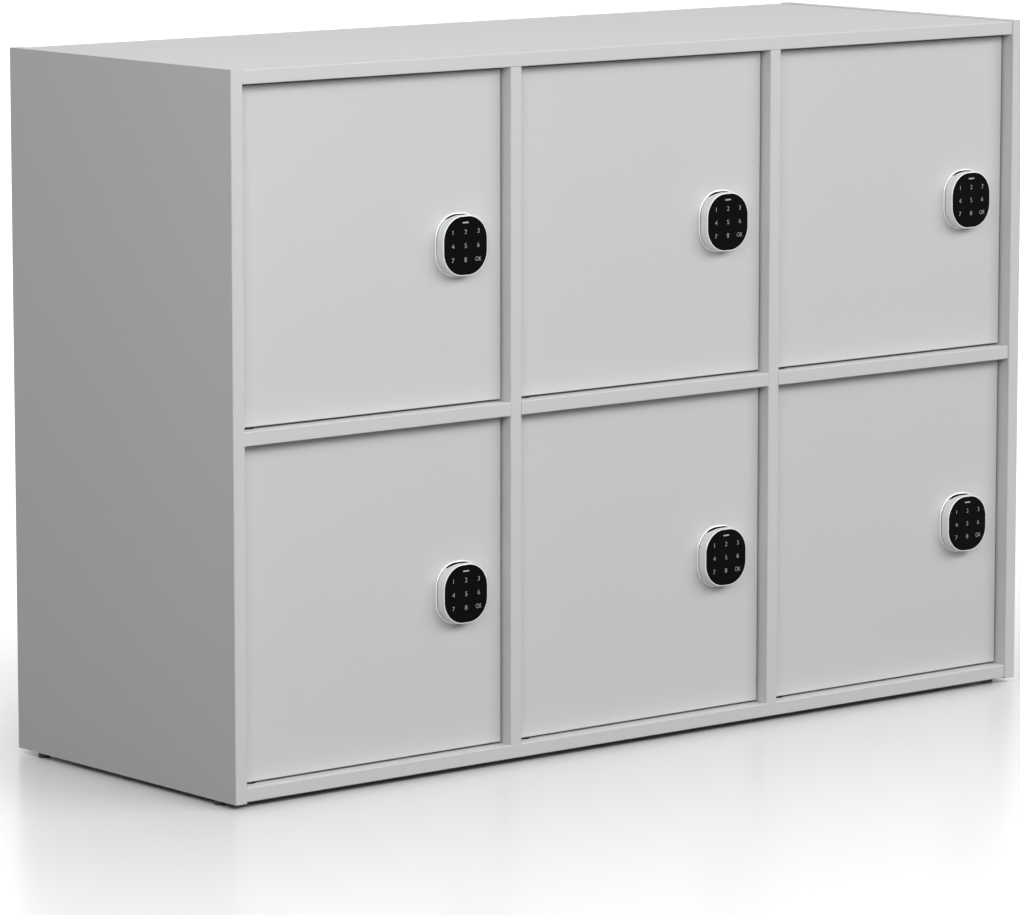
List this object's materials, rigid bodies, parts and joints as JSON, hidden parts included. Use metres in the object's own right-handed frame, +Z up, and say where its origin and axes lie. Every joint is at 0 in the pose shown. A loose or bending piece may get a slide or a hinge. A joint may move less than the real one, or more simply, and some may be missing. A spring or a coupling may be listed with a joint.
{
  "type": "office locker cabinet",
  "caption": "Low grey board locker cabinet with inset doors in columns, each with an oval keypad knob lock and hidden pivots.",
  "frame": {"origin": "on the floor, below the middle of the cabinet's outline", "axes": "+X to the right along the front, +Y from the doors to the back, +Z up"},
  "size_m": [1.2, 0.42, 0.818],
  "materials": {
    "carcass_board": "satin light grey melamine",
    "door_board": "satin light grey melamine",
    "back_board": "matt light grey",
    "dowel_wood": "raw beech",
    "glide_plastic": "matt",
    "bushing_plastic": "matt black nylon",
    "pin_steel": "black oxide",
    "zinc_steel": "zinc plated",
    "screw_steel": "zinc plated",
    "buffer_rubber": "soft",
    "lock_grey": "light silver grey",
    "keypad_black": "glossy black"
  },
  "bodies": {
    "cabinet": {"left_side_panel": "carcass_board", "right_side_panel": "carcass_board", "top_panel": "carcass_board", "bottom_panel": "carcass_board", "left_partition": "carcass_board", "right_partition": "carcass_board", "left_shelf": "carcass_board", "middle_shelf": "carcass_board", "right_shelf": "carcass_board", "back_panel": "back_board", "dowels": "dowel_wood", "side_glides": "glide_plastic", "centre_glides": "glide_plastic", "pivot_bushings": "bushing_plastic", "strike_plates": "zinc_steel", "strike_screws": "screw_steel", "door_buffers": "buffer_rubber"},
    "door_lower_left": {"door_lower_left": "door_board", "pivot_pins_lower_left": "pin_steel", "lock_base_lower_left": "lock_grey", "lock_nut_lower_left": "zinc_steel"},
    "knob_lower_left": {"lock_shell_lower_left": "lock_grey", "lock_keypad_lower_left": "keypad_black", "lock_cam_lower_left": "zinc_steel"},
    "door_lower_middle": {"door_lower_middle": "door_board", "pivot_pins_lower_middle": "pin_steel", "lock_base_lower_middle": "lock_grey", "lock_nut_lower_middle": "zinc_steel"},
    "knob_lower_middle": {"lock_shell_lower_middle": "lock_grey", "lock_keypad_lower_middle": "keypad_black", "lock_cam_lower_middle": "zinc_steel"},
    "door_lower_right": {"door_lower_right": "door_board", "pivot_pins_lower_right": "pin_steel", "lock_base_lower_right": "lock_grey", "lock_nut_lower_right": "zinc_steel"},
    "knob_lower_right": {"lock_shell_lower_right": "lock_grey", "lock_keypad_lower_right": "keypad_black", "lock_cam_lower_right": "zinc_steel"},
    "door_upper_left": {"door_upper_left": "door_board", "pivot_pins_upper_left": "pin_steel", "lock_base_upper_left": "lock_grey", "lock_nut_upper_left": "zinc_steel"},
    "knob_upper_left": {"lock_shell_upper_left": "lock_grey", "lock_keypad_upper_left": "keypad_black", "lock_cam_upper_left": "zinc_steel"},
    "door_upper_middle": {"door_upper_middle": "door_board", "pivot_pins_upper_middle": "pin_steel", "lock_base_upper_middle": "lock_grey", "lock_nut_upper_middle": "zinc_steel"},
    "knob_upper_middle": {"lock_shell_upper_middle": "lock_grey", "lock_keypad_upper_middle": "keypad_black", "lock_cam_upper_middle": "zinc_steel"},
    "door_upper_right": {"door_upper_right": "door_board", "pivot_pins_upper_right": "pin_steel", "lock_base_upper_right": "lock_grey", "lock_nut_upper_right": "zinc_steel"},
    "knob_upper_right": {"lock_shell_upper_right": "lock_grey", "lock_keypad_upper_right": "keypad_black", "lock_cam_upper_right": "zinc_steel"}
  },
  "joints": [
    {"name": "lower_left_door_swing", "type": "hinge", "parent": "cabinet", "child": "door_lower_left", "pos_m": [-0.5623, -0.185, 0.2135], "axis": [0, 0, -1], "range_deg": [0, 110]},
    {"name": "lower_left_lock_turn", "type": "hinge", "parent": "door_lower_left", "child": "knob_lower_left", "pos_m": [-0.27083, -0.2074, 0.2065], "axis": [0, 1, 0], "range_deg": [0, 90]},
    {"name": "lower_middle_door_swing", "type": "hinge", "parent": "cabinet", "child": "door_lower_middle", "pos_m": [-0.16763, -0.185, 0.2135], "axis": [0, 0, -1], "range_deg": [0, 110]},
    {"name": "lower_middle_lock_turn", "type": "hinge", "parent": "door_lower_middle", "child": "knob_lower_middle", "pos_m": [0.12383, -0.2074, 0.2065], "axis": [0, 1, 0], "range_deg": [0, 90]},
    {"name": "lower_right_door_swing", "type": "hinge", "parent": "cabinet", "child": "door_lower_right", "pos_m": [0.22703, -0.185, 0.2135], "axis": [0, 0, -1], "range_deg": [0, 110]},
    {"name": "lower_right_lock_turn", "type": "hinge", "parent": "door_lower_right", "child": "knob_lower_right", "pos_m": [0.5185, -0.2074, 0.2065], "axis": [0, 1, 0], "range_deg": [0, 90]},
    {"name": "upper_left_door_swing", "type": "hinge", "parent": "cabinet", "child": "door_upper_left", "pos_m": [-0.5623, -0.185, 0.6105], "axis": [0, 0, -1], "range_deg": [0, 110]},
    {"name": "upper_left_lock_turn", "type": "hinge", "parent": "door_upper_left", "child": "knob_upper_left", "pos_m": [-0.27083, -0.2074, 0.6035], "axis": [0, 1, 0], "range_deg": [0, 90]},
    {"name": "upper_middle_door_swing", "type": "hinge", "parent": "cabinet", "child": "door_upper_middle", "pos_m": [-0.16763, -0.185, 0.6105], "axis": [0, 0, -1], "range_deg": [0, 110]},
    {"name": "upper_middle_lock_turn", "type": "hinge", "parent": "door_upper_middle", "child": "knob_upper_middle", "pos_m": [0.12383, -0.2074, 0.6035], "axis": [0, 1, 0], "range_deg": [0, 90]},
    {"name": "upper_right_door_swing", "type": "hinge", "parent": "cabinet", "child": "door_upper_right", "pos_m": [0.22703, -0.185, 0.6105], "axis": [0, 0, -1], "range_deg": [0, 110]},
    {"name": "upper_right_lock_turn", "type": "hinge", "parent": "door_upper_right", "child": "knob_upper_right", "pos_m": [0.5185, -0.2074, 0.6035], "axis": [0, 1, 0], "range_deg": [0, 90]}
  ]
}
